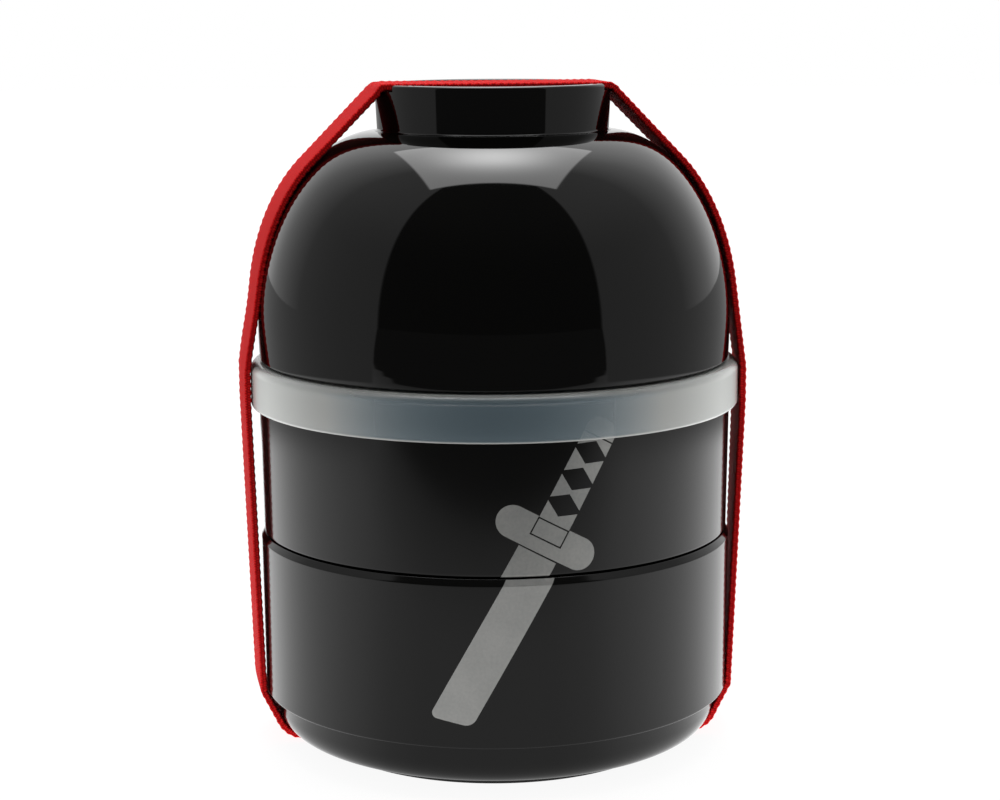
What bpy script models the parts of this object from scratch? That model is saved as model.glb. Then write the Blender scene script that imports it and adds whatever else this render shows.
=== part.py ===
"""A round two-tier lunch box whose cover is an upturned soup bowl, held shut by a flat elastic band.

From the table up: a lower container on a low foot ring, an upper container that nests in its rim, a
soft seal lid that snaps over the upper container, the bowl standing upside down on the lid, and a
woven band that runs round all of them, over the bowl's foot and under the base.
Metres, +Z up. The origin is the centre of the base, on the surface that the box stands on.
"""

import math

import bmesh
import bpy

MM = 0.001

# Clearances between pieces
SEAT_GAP = 0.3 * MM  # between faces that rest on each other
TABLE_GAP = 0.2 * MM  # under the band's stitches
NEST_GAP = 0.8 * MM  # between the upper container's base and the lower container's wall, all round
SKIRT_GAP = 0.45 * MM  # between the lid's skirt and the upper container's rim
PLUG_GAP = 0.5 * MM  # between the lid's plug and the inside of the rim

# Both containers
RIM_R = 55.9 * MM  # outside radius of the upper container at its rim, which the other radii follow
WALL = 2.0 * MM
FLOOR = 2.2 * MM
RING_W = 2.6 * MM  # foot ring under each container
RING_INSET = 4.1 * MM  # from the start of the base's rounding in to the ring
BASE_FILLET = 6.0 * MM
FLOOR_FILLET = 4.0 * MM
EDGE_FILLET = 0.6 * MM  # small roundings on rims and steps

# Upper container
UPPER_H = 49.8 * MM
UPPER_DRAFT = math.radians(0.9)
UPPER_STEP_H = 11.5 * MM  # how much of it nests in the lower container

# Lower container
LOWER_H = 51.0 * MM
LOWER_DRAFT = math.radians(0.6)
LOWER_STEP_H = 12.4 * MM
LOWER_STEP_IN = 2.9 * MM  # how far the base section is set in under the wall
LOWER_PROUD = 0.7 * MM  # how far its rim stands out past the upper container
RIM_CHAMFER_W = 0.8 * MM
RIM_CHAMFER_H = 1.4 * MM

# Seal lid
SKIRT = 1.4 * MM
LID_H = 10.4 * MM
LID_TOP = 1.8 * MM  # thickness over the container's rim
LID_TOP_FILLET = 2.2 * MM
LID_HEM_FILLET = 0.7 * MM
PLUG_DEPTH = 4.7 * MM  # how far the plug reaches down inside the rim
PLUG_WALL = 1.4 * MM
PANEL = 1.6 * MM
PANEL_DROP = 1.5 * MM  # how far the middle of the lid lies below its shoulder
KEEPER_H = 1.5 * MM  # raised ring that keeps the bowl centred
KEEPER_W = 2.2 * MM
KEEPER_GAP = 0.9 * MM

# Bowl, upside down
BOWL_INSET = 2.3 * MM  # how far its rim stands in from the lid's edge
BOWL_BELLY = 0.25 * MM  # how far the wall swells beyond the rim
BOWL_WALL = 2.2 * MM
BOWL_FLOOR = 2.6 * MM
BELLY_Z = 8.6 * MM  # height of the widest place above the rim
DOME_H = 44.6 * MM  # from the widest place to the flat under the foot
DOME_FLAT_R = 26.4 * MM
BOWL_FOOT_H = 10.8 * MM
BOWL_FOOT_R = 27.6 * MM  # at the free edge
BOWL_FOOT_FLARE = 0.5 * MM
BOWL_FOOT_WALL = 2.7 * MM
FOOT_FILLET = 0.5 * MM
NOTCH_DEPTH = 1.5 * MM  # of the saddle in the foot's free edge that the band lies in
NOTCH_EDGE = 2.0 * MM  # rounding of its outer edge
NOTCH_GAP = 3.0 * MM  # side room of the band in it
NOTCH_TURN = math.radians(6.2)  # how far it is turned from the XZ plane

# Elastic band
BAND_W = 20.0 * MM
BAND_T = 1.4 * MM
BAND_EDGE = 0.35 * MM  # softened corners of its section
BAND_YAW = math.radians(2.7)  # how far the loop is turned from the XZ plane
BAND_SKEW_LEFT = math.radians(2.5)  # how much more it is turned where it reaches the bowl's foot
BAND_SKEW_RIGHT = math.radians(7.5)
BAND_SLOT_GAP = 1.2 * MM  # side room of the band in the gaps of the foot ring
BAND_SLOT_DEPTH = 0.3 * MM  # how far that slot goes into the base
STITCH_R = 0.18 * MM
STITCH_GAP = 0.25 * MM
STITCH_REACH = 2.4 * MM  # how far the zigzag reaches to each side of the join
STITCH_PITCH = 1.6 * MM
STITCH_MARGIN = 2.0 * MM

TURN_STEPS = 48
CHORD_GAP = 0.08 * MM  # how far a rounding's facets may lie from its true arc
DOME_STEPS = 8
STRAIGHT = 1e-3  # radians: a corner that turns less than this is no corner
BAND_BEND = math.radians(14)  # the band's largest change of direction at one station


def empty_scene():
    for old in list(bpy.data.objects):
        bpy.data.objects.remove(old, do_unlink=True)


def plastic(name, colour, roughness, transmission=0.0):
    material = bpy.data.materials.new(name)
    material.use_nodes = True
    shader = material.node_tree.nodes["Principled BSDF"]
    shader.inputs["Base Color"].default_value = (*colour, 1.0)
    shader.inputs["Roughness"].default_value = roughness
    shader.inputs["Metallic"].default_value = 0.0
    shader.inputs["Transmission Weight"].default_value = transmission
    return material


def arc_points(centre, start, end, radius, steps):
    """Points on the shorter arc about centre from the direction start to the direction end."""
    turn = (end - start + math.pi) % (2 * math.pi) - math.pi
    angles = [start + turn * i / steps for i in range(steps + 1)]
    return [(centre[0] + radius * math.cos(a), centre[1] + radius * math.sin(a)) for a in angles]


def rounded(corners):
    """A line through corners (r, z, fillet), each of which is cut back to an arc of its fillet's radius."""
    points = [corners[0][:2]]
    for before, (r, z, fillet), after in zip(corners, corners[1:], corners[2:]):
        to_before = math.atan2(before[1] - z, before[0] - r)
        to_after = math.atan2(after[1] - z, after[0] - r)
        inside = abs((to_after - to_before + math.pi) % (2 * math.pi) - math.pi)
        if not fillet or inside > math.pi - STRAIGHT:
            points.append((r, z))
            continue
        cut = fillet / math.tan(inside / 2)
        middle = to_before + ((to_after - to_before + math.pi) % (2 * math.pi) - math.pi) / 2
        reach = fillet / math.sin(inside / 2)
        centre = (r + reach * math.cos(middle), z + reach * math.sin(middle))
        ends = [(r + cut * math.cos(a), z + cut * math.sin(a)) for a in (to_before, to_after)]
        start, end = (math.atan2(p[1] - centre[1], p[0] - centre[0]) for p in ends)
        facet = 2 * math.acos(1 - CHORD_GAP / fillet)
        steps = math.ceil((math.pi - inside) / facet)
        points += arc_points(centre, start, end, fillet, steps)
    points.append(corners[-1][:2])
    return points


def finish_mesh(name, bm, material):
    bmesh.ops.recalc_face_normals(bm, faces=bm.faces)
    mesh = bpy.data.meshes.new(name)
    bm.to_mesh(mesh)
    bm.free()
    mesh.materials.append(material)
    mesh.shade_smooth()
    mesh.set_sharp_from_angle(angle=math.radians(35))
    piece = bpy.data.objects.new(name, mesh)
    bpy.context.scene.collection.objects.link(piece)
    return piece


def turned(name, outline, material, height):
    """A solid of revolution about Z from an outline (r, z) that starts and ends on the axis."""
    bm = bmesh.new()
    ring = [bm.verts.new((r, 0, z)) for r, z in outline]
    edges = [bm.edges.new(pair) for pair in zip(ring, ring[1:])]
    bmesh.ops.spin(
        bm,
        geom=ring + edges,
        cent=(0, 0, 0),
        axis=(0, 0, 1),
        angle=2 * math.pi,
        steps=TURN_STEPS,
        use_merge=True,
    )
    bmesh.ops.remove_doubles(bm, verts=bm.verts, dist=1e-6)
    piece = finish_mesh(name, bm, material)
    piece.location.z = height
    return piece


def container_outline(height, step_h, base_r, step_r, rim_r, chamfer_w, chamfer_h):
    """Outline of a container standing on z = 0: foot ring, base section, step, drafted wall, rim, inside."""
    ring_outer_r = base_r - BASE_FILLET - RING_INSET
    ring_inner_r = ring_outer_r - RING_W
    wall_top = height - chamfer_h
    slope = (rim_r - step_r) / (wall_top - step_h)
    rim_inner_r = rim_r - WALL
    ledge_top = step_h + WALL
    ledge_r = rim_inner_r - slope * (wall_top - ledge_top)
    base_inner_r = base_r - WALL
    ledge_bottom = ledge_top - (ledge_r - base_inner_r)
    return rounded(
        [
            (0, RING_H, 0),
            (ring_inner_r, RING_H, 0),
            (ring_inner_r, 0, 0),
            (ring_outer_r, 0, 0),
            (ring_outer_r, RING_H, 0),
            (base_r, RING_H, BASE_FILLET),
            (base_r, step_h, 0),
            (step_r, step_h, EDGE_FILLET),
            (rim_r, wall_top, EDGE_FILLET),
            (rim_r - chamfer_w, height, EDGE_FILLET / 2),
            (rim_inner_r, height, EDGE_FILLET / 2),
            (ledge_r, ledge_top, EDGE_FILLET),
            (base_inner_r, ledge_bottom, EDGE_FILLET),
            (base_inner_r, RING_H + FLOOR, FLOOR_FILLET),
            (0, RING_H + FLOOR, 0),
        ]
    )


RING_H = SEAT_GAP + BAND_T + STITCH_GAP + 2 * STITCH_R + TABLE_GAP
UPPER_STEP_R = RIM_R - (UPPER_H - UPPER_STEP_H) * math.tan(UPPER_DRAFT)
LOWER_RIM_R = UPPER_STEP_R + LOWER_PROUD
LOWER_STEP_R = LOWER_RIM_R - (LOWER_H - LOWER_STEP_H) * math.tan(LOWER_DRAFT)
NEST_R = LOWER_RIM_R - WALL - (UPPER_STEP_H + SEAT_GAP) * math.tan(LOWER_DRAFT) - NEST_GAP
LOWER_BASE_R = LOWER_STEP_R - LOWER_STEP_IN
LID_R = RIM_R + SKIRT_GAP + SKIRT
BOWL_RIM_R = LID_R - BOWL_INSET

UPPER_Z = LOWER_H + SEAT_GAP - UPPER_STEP_H
LID_Z = UPPER_Z + UPPER_H + SEAT_GAP - (LID_H - LID_TOP)
BOWL_Z = LID_Z + LID_H + SEAT_GAP


def lower_outline():
    return container_outline(
        LOWER_H, LOWER_STEP_H, LOWER_BASE_R, LOWER_STEP_R, LOWER_RIM_R, RIM_CHAMFER_W, RIM_CHAMFER_H
    )


def upper_outline():
    return container_outline(
        UPPER_H, UPPER_STEP_H, NEST_R, UPPER_STEP_R, RIM_R, EDGE_FILLET, EDGE_FILLET
    )


def lid_outline():
    """Outline of the seal lid from the top of its middle, over the skirt, round the channel for the rim."""
    channel_top = LID_H - LID_TOP
    skirt_inner_r = LID_R - SKIRT
    plug_r = RIM_R - WALL - PLUG_GAP
    plug_inner_r = plug_r - PLUG_WALL
    keeper_r = BOWL_RIM_R - BOWL_WALL - KEEPER_GAP
    keeper_inner_r = keeper_r - KEEPER_W
    panel_top = LID_H - PANEL_DROP
    panel_under = panel_top - PANEL
    return rounded(
        [
            (0, panel_top, 0),
            (keeper_inner_r - PANEL_DROP, panel_top, 0),
            (keeper_inner_r, LID_H + KEEPER_H, EDGE_FILLET),
            (keeper_r, LID_H + KEEPER_H, EDGE_FILLET),
            (keeper_r, LID_H, 0),
            (LID_R, LID_H, LID_TOP_FILLET),
            (LID_R, 0, LID_HEM_FILLET),
            (skirt_inner_r, 0, 0),
            (skirt_inner_r, channel_top, 0),
            (plug_r, channel_top, 0),
            (plug_r, channel_top - PLUG_DEPTH, EDGE_FILLET),
            (plug_inner_r, channel_top - PLUG_DEPTH, 0),
            (plug_inner_r, panel_under, EDGE_FILLET),
            (0, panel_under, 0),
        ]
    )


def dome(belly_r, rise, steps):
    """The bowl's wall from its widest place up to the flat that carries the foot: a quarter of an ellipse."""
    reach = belly_r - DOME_FLAT_R
    angles = [math.pi / 2 * i / steps for i in range(steps + 1)]
    return [(DOME_FLAT_R + reach * math.cos(a), BELLY_Z + rise * math.sin(a)) for a in angles]


def bowl_outline(foot_h=BOWL_FOOT_H, foot_edge=EDGE_FILLET):
    """Outline of the upturned bowl from the recess in its foot, down the outside, and back up the inside."""
    belly_r = BOWL_RIM_R + BOWL_BELLY
    dome_top = BELLY_Z + DOME_H
    foot_top = dome_top + foot_h
    inside_top = dome_top - BOWL_WALL
    recess_z = inside_top + BOWL_FLOOR
    foot_base_r = BOWL_FOOT_R - BOWL_FOOT_FLARE
    foot_inner_r = BOWL_FOOT_R - BOWL_FOOT_WALL
    foot = rounded(
        [
            (0, recess_z, 0),
            (foot_inner_r - BOWL_FOOT_FLARE, recess_z, FOOT_FILLET),
            (foot_inner_r, foot_top, EDGE_FILLET),
            (BOWL_FOOT_R, foot_top, foot_edge),
            (foot_base_r, dome_top, FOOT_FILLET),
            (foot_base_r + 2 * FOOT_FILLET, dome_top, 0),
        ]
    )
    outside = dome(belly_r, DOME_H, DOME_STEPS)[-2::-1]
    rim = rounded(
        [
            (belly_r, BELLY_Z, 0),
            (BOWL_RIM_R, 0, EDGE_FILLET),
            (BOWL_RIM_R - BOWL_WALL, 0, EDGE_FILLET),
            (belly_r - BOWL_WALL, BELLY_Z, 0),
        ]
    )
    inside = dome(belly_r - BOWL_WALL, DOME_H - BOWL_WALL, DOME_STEPS)[1:]
    return foot[:-1] + outside + rim[1:] + inside + [(0, inside_top)]


def hull(points):
    """The convex outline of points in a plane, anticlockwise."""
    ordered = sorted(set(points))

    def half(line):
        kept = []
        for p in line:
            while len(kept) > 1:
                a, b = kept[-2:]
                turn = math.atan2(p[1] - b[1], p[0] - b[0]) - math.atan2(b[1] - a[1], b[0] - a[0])
                if STRAIGHT < turn % (2 * math.pi) < math.pi:
                    break
                kept.pop()
            kept.append(p)
        return kept[:-1]

    return half(ordered) + half(ordered[::-1])


def band_stations():
    """Places along the taut band: a point of the box that it touches and the outward direction there."""
    notched_bowl = bowl_outline(BOWL_FOOT_H - NOTCH_DEPTH, NOTCH_EDGE)
    stack = [(lower_outline(), 0), (upper_outline(), UPPER_Z), (lid_outline(), LID_Z), (notched_bowl, BOWL_Z)]
    touched = [(r, z + base) for outline, base in stack for r, z in outline if z + base >= RING_H]
    corners = hull([(side * r, z) for r, z in touched for side in (-1, 1)])
    stations = []
    for before, corner, after in zip(corners[-1:] + corners, corners, corners[1:] + corners[:1]):
        facing = [
            math.atan2(a[0] - b[0], b[1] - a[1]) for a, b in ((before, corner), (corner, after))
        ]
        turn = (facing[1] - facing[0]) % (2 * math.pi)
        steps = max(1, math.ceil(turn / BAND_BEND))
        shares = [0.5] if steps == 1 else [i / steps for i in range(steps + 1)]
        stations += [(corner, facing[0] + turn * share) for share in shares]
    return stations


def band_yaw(x, z):
    """How far the band is turned about Z at a place: it lies skewed over the bowl, more so on the right."""
    foot_top = BOWL_Z + BELLY_Z + DOME_H + BOWL_FOOT_H
    share = min(max((z - BOWL_Z) / (foot_top - BOWL_Z), 0), 1)
    side = min(max(0.5 + x / (2 * BOWL_FOOT_R), 0), 1)
    skew = BAND_SKEW_LEFT + (BAND_SKEW_RIGHT - BAND_SKEW_LEFT) * side
    return BAND_YAW + skew * share * share * (3 - 2 * share)


def band_section():
    """Corners of the band's section: (across its width, out through its thickness)."""
    half, edge = BAND_W / 2, BAND_EDGE
    quarter = [(half - edge, 0), (half, edge), (half, BAND_T - edge), (half - edge, BAND_T)]
    return quarter + [(-across, out) for across, out in quarter[::-1]]


def make_band(material):
    bm = bmesh.new()
    rings = []
    for (x, z), facing in band_stations():
        yaw = band_yaw(x, z)
        ring = []
        for across, out in band_section():
            away = SEAT_GAP + out
            along = x + away * math.cos(facing)
            height = z + away * math.sin(facing)
            place = (
                along * math.cos(yaw) - across * math.sin(yaw),
                along * math.sin(yaw) + across * math.cos(yaw),
                height,
            )
            ring.append(bm.verts.new(place))
        rings.append(ring)
    for ring, following in zip(rings, rings[1:] + rings[:1]):
        bmesh.ops.bridge_loops(bm, edges=ring_edges(bm, ring) + ring_edges(bm, following))
    return finish_mesh("elastic_band", bm, material)


def ring_edges(bm, ring):
    pairs = zip(ring, ring[1:] + ring[:1])
    return [bm.edges.get(pair) or bm.edges.new(pair) for pair in pairs]


def make_stitching(material):
    """One thread zigzagging across the join of the band's two ends, under the middle of the base."""
    height = RING_H - SEAT_GAP - BAND_T - STITCH_GAP - STITCH_R
    half = BAND_W / 2 - STITCH_MARGIN
    legs = round(2 * half / STITCH_PITCH)
    curve = bpy.data.curves.new("band_stitching", "CURVE")
    curve.dimensions = "3D"
    curve.bevel_depth = STITCH_R
    curve.bevel_resolution = 1
    curve.use_fill_caps = True
    spline = curve.splines.new("POLY")
    spline.points.add(legs)
    for i, point in enumerate(spline.points):
        across = -half + 2 * half * i / legs
        point.co = (STITCH_REACH * (-1) ** i, across, 0, 1)
    curve.materials.append(material)
    thread = bpy.data.objects.new("band_stitching", curve)
    bpy.context.scene.collection.objects.link(thread)
    thread.location.z = height
    thread.rotation_euler.z = BAND_YAW
    return thread


def cut_away(piece, name, cutter_bm, turn):
    """Subtracts a cutter, turned about Z, from a piece that stands over the same origin."""
    bmesh.ops.recalc_face_normals(cutter_bm, faces=cutter_bm.faces)
    mesh = bpy.data.meshes.new(name)
    cutter_bm.to_mesh(mesh)
    cutter_bm.free()
    cutter = bpy.data.objects.new(name, mesh)
    bpy.context.scene.collection.objects.link(cutter)
    cutter.rotation_euler.z = turn
    cutter.location = piece.location
    cutter.hide_render = True
    cutter.display_type = "WIRE"
    cut = piece.modifiers.new(name, "BOOLEAN")
    cut.operation = "DIFFERENCE"
    cut.solver = "EXACT"
    cut.object = cutter


def cut_band_slot(container):
    """Gaps in the foot ring where the band passes, so that the box stands on the ring and not on the band."""
    bm = bmesh.new()
    bmesh.ops.create_cube(bm, size=1)
    slot_top = RING_H + BAND_SLOT_DEPTH
    size = (2 * (LOWER_BASE_R - BASE_FILLET), BAND_W + 2 * BAND_SLOT_GAP, 2 * slot_top)
    bmesh.ops.scale(bm, vec=size, verts=bm.verts)
    cut_away(container, "band_slot_cutter", bm, BAND_YAW)


def cut_foot_notch(bowl):
    """A saddle across the foot's free edge, with rounded ends, that keeps the band from sliding off."""
    foot_top = BELLY_Z + DOME_H + BOWL_FOOT_H
    low = foot_top - NOTCH_DEPTH
    clear = 2 * NOTCH_EDGE
    line = rounded([(0, low, 0), (BOWL_FOOT_R, low, NOTCH_EDGE), (BOWL_FOOT_R, low - clear, 0)])[1:-1]
    line += [(BOWL_FOOT_R + clear, low - NOTCH_EDGE), (BOWL_FOOT_R + clear, foot_top + clear)]
    loop = line + [(-x, z) for x, z in line[::-1]]
    half = BAND_W / 2 + NOTCH_GAP
    bm = bmesh.new()
    front, back = ([bm.verts.new((x, y, z)) for x, z in loop] for y in (-half, half))
    bm.faces.new(front)
    bm.faces.new(back[::-1])
    for i in range(len(loop)):
        j = (i + 1) % len(loop)
        bm.faces.new([front[i], back[i], back[j], front[j]])
    cut_away(bowl, "foot_notch_cutter", bm, NOTCH_TURN)


def main():
    empty_scene()
    lacquer = plastic("black gloss", (0.012, 0.012, 0.013), 0.08)
    satin = plastic("black semi gloss", (0.016, 0.016, 0.017), 0.28)
    soft_white = plastic("translucent white", (0.72, 0.75, 0.75), 0.35, 0.5)
    woven_red = plastic("red elastic", (0.55, 0.02, 0.03), 0.85)
    red_thread = plastic("red thread", (0.45, 0.015, 0.025), 0.6)
    lower = turned("lower_container", lower_outline(), satin, 0)
    cut_band_slot(lower)
    turned("upper_container", upper_outline(), satin, UPPER_Z)
    turned("seal_lid", lid_outline(), soft_white, LID_Z)
    cut_foot_notch(turned("bowl_cover", bowl_outline(), lacquer, BOWL_Z))
    make_band(woven_red)
    make_stitching(red_thread)


main()
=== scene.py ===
"""Looks of a round two-tier lunch box: black tiers with a printed figure, a translucent seal lid, an upturned
lacquered bowl, and a woven red band round the stack, on a pale ground in a soft studio.

Metres, +Z up, in the frame of the CAD model, whose sizes are repeated here so that the finer pieces fit it.
"""

import math

import bmesh
import bpy
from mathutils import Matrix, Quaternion, Vector


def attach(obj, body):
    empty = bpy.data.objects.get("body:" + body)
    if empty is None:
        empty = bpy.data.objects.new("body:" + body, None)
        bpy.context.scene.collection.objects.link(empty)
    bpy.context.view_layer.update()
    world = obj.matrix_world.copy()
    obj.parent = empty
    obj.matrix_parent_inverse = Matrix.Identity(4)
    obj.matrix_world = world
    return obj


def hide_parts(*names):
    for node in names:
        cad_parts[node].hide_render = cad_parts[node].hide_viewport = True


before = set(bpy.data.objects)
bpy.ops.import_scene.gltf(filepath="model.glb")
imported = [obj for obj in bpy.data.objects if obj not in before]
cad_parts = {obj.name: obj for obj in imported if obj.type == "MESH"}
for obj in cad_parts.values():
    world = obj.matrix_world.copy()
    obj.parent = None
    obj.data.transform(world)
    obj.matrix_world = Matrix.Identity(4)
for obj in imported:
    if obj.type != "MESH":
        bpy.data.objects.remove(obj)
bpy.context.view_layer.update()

MM = 0.001

# Clearances between pieces
SEAT_GAP = 0.3 * MM
TABLE_GAP = 0.2 * MM
NEST_GAP = 0.8 * MM
SKIRT_GAP = 0.45 * MM
PLUG_GAP = 0.5 * MM

# Both containers
RIM_R = 55.9 * MM
WALL = 2.0 * MM
FLOOR = 2.2 * MM
RING_W = 2.6 * MM
RING_INSET = 4.1 * MM
BASE_FILLET = 6.0 * MM
FLOOR_FILLET = 4.0 * MM
EDGE_FILLET = 0.6 * MM

# Upper container
UPPER_H = 49.8 * MM
UPPER_DRAFT = math.radians(0.9)
UPPER_STEP_H = 11.5 * MM

# Lower container
LOWER_H = 51.0 * MM
LOWER_DRAFT = math.radians(0.6)
LOWER_STEP_H = 12.4 * MM
LOWER_STEP_IN = 2.9 * MM
LOWER_PROUD = 0.7 * MM
RIM_CHAMFER_W = 0.8 * MM
RIM_CHAMFER_H = 1.4 * MM

# Seal lid
SKIRT = 1.4 * MM
LID_H = 10.4 * MM
LID_TOP = 1.8 * MM
LID_TOP_FILLET = 2.2 * MM
LID_HEM_FILLET = 0.7 * MM
PLUG_DEPTH = 4.7 * MM
PLUG_WALL = 1.4 * MM
PANEL = 1.6 * MM
PANEL_DROP = 1.5 * MM
KEEPER_H = 1.5 * MM
KEEPER_W = 2.2 * MM
KEEPER_GAP = 0.9 * MM

# Bowl, upside down
BOWL_INSET = 2.3 * MM
BOWL_BELLY = 0.25 * MM
BOWL_WALL = 2.2 * MM
BOWL_FLOOR = 2.6 * MM
BELLY_Z = 8.6 * MM
DOME_H = 44.6 * MM
DOME_FLAT_R = 26.4 * MM
BOWL_FOOT_H = 10.8 * MM
BOWL_FOOT_R = 27.6 * MM
BOWL_FOOT_FLARE = 0.5 * MM
BOWL_FOOT_WALL = 2.7 * MM
FOOT_FILLET = 0.5 * MM
NOTCH_DEPTH = 1.5 * MM
NOTCH_EDGE = 2.0 * MM
NOTCH_GAP = 3.0 * MM
NOTCH_TURN = math.radians(6.2)

# Elastic band
BAND_W = 20.0 * MM
BAND_T = 1.45 * MM
BAND_EDGE = 0.5 * MM  # rounding of its long edges
BAND_LIFT = 0.1 * MM  # how far its middle stands off where it spans the round wall
BAND_CUP = 0.15 * MM  # how far its long edges lean back towards the wall there
BAND_LEAN_LEFT = math.radians(7.5)  # how far its face turns to the front on each side
BAND_LEAN_RIGHT = math.radians(3.0)
BAND_LEAN_LOW_RIGHT = math.radians(6.2)  # the same at the foot of its right side
BAND_EASE = 0.5 * MM  # how far its left side stands off, from the bowl's mouth down
BAND_EASE_H = 14.0 * MM
BAND_YAW = math.radians(2.7)
BAND_SKEW_LEFT = math.radians(2.5)
BAND_SKEW_RIGHT = math.radians(7.5)
SCALLOP_PITCH = 1.8 * MM  # waves of the woven edges
SCALLOP_DEPTH = 0.12 * MM
SCALLOP_REACH = 0.12  # share of the half width that waves
RIB_PITCH = 0.62 * MM  # crosswise ribs of the weave
CORD_PITCH = 0.95 * MM  # lengthwise cords of the weave
WEAVE_RELIEF = 0.14 * MM
BAND_SLOT_GAP = 1.2 * MM
BAND_SLOT_DEPTH = 0.3 * MM
CAD_BAND_T = 1.4 * MM
STITCH_R = 0.18 * MM
STITCH_GAP = 0.25 * MM
STITCH_REACH = 2.4 * MM
STITCH_PITCH = 1.6 * MM
STITCH_MARGIN = 2.0 * MM
STITCH_PROUD = 0.7 * STITCH_R  # how far its middle line lies off the band
STITCH_DIP = 1.6 * STITCH_R  # how far it dips at the end of each leg
JOIN_W = 0.35 * MM  # groove where the band's two ends meet
JOIN_DEPTH = 0.4 * MM

# Printed figure, unrolled on the wall: s along the rim from the front, z up
PRINT_R = 55.5 * MM  # radius on which s is measured
PRINT_LIFT = 0.02 * MM
PRINT_T = 0.03 * MM
FIGURE_S = 11.2 * MM  # middle of the guard
FIGURE_Z = 59.9 * MM
HILT_LEAN = math.radians(28.4)
SHEATH_LEAN = math.radians(28.9)
GUARD_LENGTH = 24.2 * MM
GUARD_T = 7.4 * MM
HILT_LEFT = -3.7 * MM
HILT_RIGHT = 3.85 * MM
HILT_TOP = 28.9 * MM
CAP_RADIUS = 2.9 * MM
CAP_LINE = 24.75 * MM
COLLAR_LOW = -0.6 * MM
COLLAR_HIGH = 3.4 * MM
LINE_W = 0.34 * MM
ROUND_END = 0.999  # rounding of the guard's ends, as a share of half its thickness
DIAMONDS = 3
DIAMOND_FIRST = 8.1 * MM
DIAMOND_PITCH = 6.45 * MM
DIAMOND_HALF_H = 2.75 * MM
DIAMOND_HALF_W = 4.5 * MM
SHEATH_HALF_W = 4.7 * MM
SHEATH_SHIFT = 1.3 * MM  # the lower tier's part lies this much further to the right
SHEATH_END_LEFT = -47.8 * MM
SHEATH_END_RIGHT = -45.0 * MM
SHEATH_END_RADII = (1.3 * MM, 2.6 * MM)
PRINT_STEP_GAP = 0.08 * MM  # bare strips beside the upper tier's step and the lower tier's rim
PRINT_RIM_GAP = 0.12 * MM
PRINT_CELL = 1.2 * MM

# Camera and picture
EYE = (0.0, -0.5347, 0.1753)
CAMERA_PITCH = math.radians(10.02)
CAMERA_YAW = math.radians(0.144)
CAMERA_ROLL = math.radians(-0.29)
LENS_MM = 81.8
SENSOR_MM = 36.0

# Colours, from the darker to the lighter tone
BOWL_BLACKS = (0.0008, 0.0008, 0.0007, 1), (0.0016, 0.0015, 0.0012, 1)
TIER_BLACKS = (0.0010, 0.0010, 0.0008, 1), (0.0019, 0.0018, 0.0015, 1)
LID_TONES_SLANT_LIT = (0.50, 0.76, 0.92, 1), (0.90, 0.91, 0.87, 1)  # seen square on, and at a slant, where the lighter tone is painted light
LID_MILK = (0.80, 0.94, 1.0, 1)
# one ink on both tiers: the upper's darker greys are painted shade, the lower's lighter greys painted light
UPPER_GREYS_SHADED = (0.39, 0.395, 0.385, 1), (0.49, 0.49, 0.47, 1)
LOWER_GREYS_LIT = (0.52, 0.525, 0.51, 1), (0.62, 0.62, 0.60, 1)
# band: its darker red where the weave lies low is painted shade in the hollows
BAND_REDS_HOLLOW_SHADED = (0.28, 0.003, 0.004, 1), (0.72, 0.013, 0.014, 1)
THREAD_REDS = (0.34, 0.008, 0.012, 1), (0.60, 0.025, 0.030, 1)

# Surfaces; a pair is what the noise moves between
NOISE_SPREAD = 0.3, 0.7
BOWL_ROUGHNESS = 0.03, 0.045
TIER_ROUGHNESS = 0.12, 0.145
INK_ROUGHNESS = 0.36, 0.44
INK_METAL = 0.7
GLOSS_IOR = 1.5
LID_IOR = 1.45
LID_ROUGHNESS = 0.27
LID_SKIN_ROUGHNESS = 0.22
LID_HAZE_AND_SLANT_LIGHT = 0.15, 0.86  # share of haze, seen square on and at a slant; its rise at a slant is partly the longer path through the skin and partly painted light
LID_TOP_PAINTED_SHADE = 0.45  # how much of that the faces that look up keep: painted shade, as under the bowl
LID_DENSITY = 185.0
BAND_ROUGHNESS = 0.85
BAND_BLEED = 1.2 * MM  # how far light spreads inside the webbing

# Studio: levels by direction, as stops (share of half a turn from the middle of the dark gap, level)
GAP_TURN = math.radians(2.2)  # how far the gap's middle lies to the left
GAP_HALF = math.radians(54.3)
GAP = GAP_HALF / math.pi
WALL_STOPS = [
    (0, 0.045), (GAP - 0.003, 0.045), (GAP + 0.003, 0.36), (0.583, 0.36), (0.611, 0.44),
    (0.678, 0.6), (0.728, 0.7), (0.783, 0.9), (0.833, 1.0), (1, 1.0),
]
WALL_RISE = 0.4, 0.85, 1.0, 1.35  # between two heights, from one level to the other
PLAIN_STOPS = [(0, 0.12), (GAP - 0.06, 0.12), (GAP + 0.08, 0.42), (0.6, 0.5), (0.85, 0.8), (1, 0.8)]
PLAIN_WALLS = 2.0  # how strongly the walls and the softbox light matt surfaces
PLAIN_BOX = 0.8

# Softbox, on a plane at unit height: brightest at its middle, with soft edges
BOX_LOWEST = 0.05
BOX_MIDDLE = 0.24
BOX_FALL_BACK = 0.36
BOX_FALL_FRONT = 0.245
BOX_FALL_SIDE = 0.25
BOX_LEVEL = 3.2
BOX_GLOW = 6.3
BOX_SIDE_EDGE = 0.445, 0.465
BOX_FRONT_EDGE = -0.235, -0.215
BOX_REAR_EDGE = 0.82, 0.86

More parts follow.
